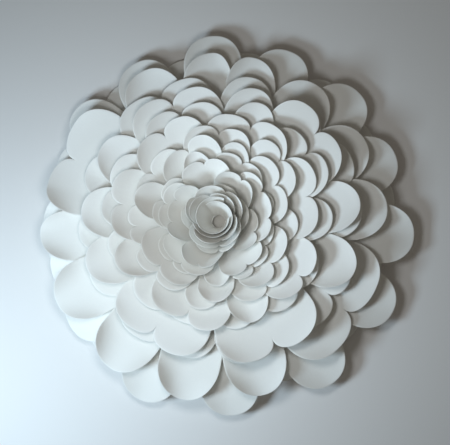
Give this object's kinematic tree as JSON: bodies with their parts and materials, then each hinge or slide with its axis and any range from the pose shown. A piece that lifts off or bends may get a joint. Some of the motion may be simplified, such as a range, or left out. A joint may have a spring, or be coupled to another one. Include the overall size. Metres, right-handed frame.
{
  "type": "giant paper flower",
  "caption": "Giant paper flower: nested rows of cupped white card petals glued by folded strips on a round backing board, around a rolled centre.",
  "frame": {"origin": "middle of the backing board's back face", "axes": "+Z along the flower's axis, out of the open flower; +X and +Y across the petals"},
  "size_m": [0.4949, 0.5072, 0.0814],
  "materials": {
    "white_card": null,
    "board": null
  },
  "bodies": {
    "root": {"backing_board": "board", "centre_roll_1": "white_card", "centre_roll_2": "white_card", "row01_petals_1": "white_card", "row01_petals_2": "white_card", "row01_petals_3": "white_card", "row01_petals_4": "white_card", "row02_petals_1": "white_card", "row02_petals_2": "white_card", "row02_petals_3": "white_card", "row02_petals_4": "white_card", "row03_petals_1": "white_card", "row03_petals_2": "white_card", "row03_petals_3": "white_card", "row03_petals_4": "white_card", "row04_petals_1": "white_card", "row04_petals_2": "white_card", "row04_petals_3": "white_card", "row04_petals_4": "white_card", "row05_petals_1": "white_card", "row05_petals_2": "white_card", "row05_petals_3": "white_card", "row05_petals_4": "white_card", "row06_petals_1": "white_card", "row06_petals_2": "white_card", "row06_petals_3": "white_card", "row06_petals_4": "white_card", "row07_petals_1": "white_card", "row07_petals_2": "white_card", "row07_petals_3": "white_card", "row07_petals_4": "white_card", "row08_petals_1": "white_card", "row08_petals_2": "white_card", "row08_petals_3": "white_card", "row08_petals_4": "white_card", "row09_petals_1": "white_card", "row09_petals_2": "white_card", "row09_petals_3": "white_card", "row09_petals_4": "white_card", "row10_petals_1": "white_card", "row10_petals_2": "white_card", "row10_petals_3": "white_card", "row10_petals_4": "white_card", "row11_petals_1": "white_card", "row11_petals_2": "white_card", "row11_petals_3": "white_card", "row11_petals_4": "white_card", "row11_petals_5": "white_card", "row12_petals_1": "white_card", "row12_petals_2": "white_card", "row12_petals_3": "white_card", "row12_petals_4": "white_card", "row13_petals_1": "white_card", "row13_petals_2": "white_card", "row13_petals_3": "white_card", "row14_petals_1": "white_card", "row14_petals_2": "white_card", "row15_petals_1": "white_card", "row15_petals_2": "white_card"}
  },
  "joints": []
}
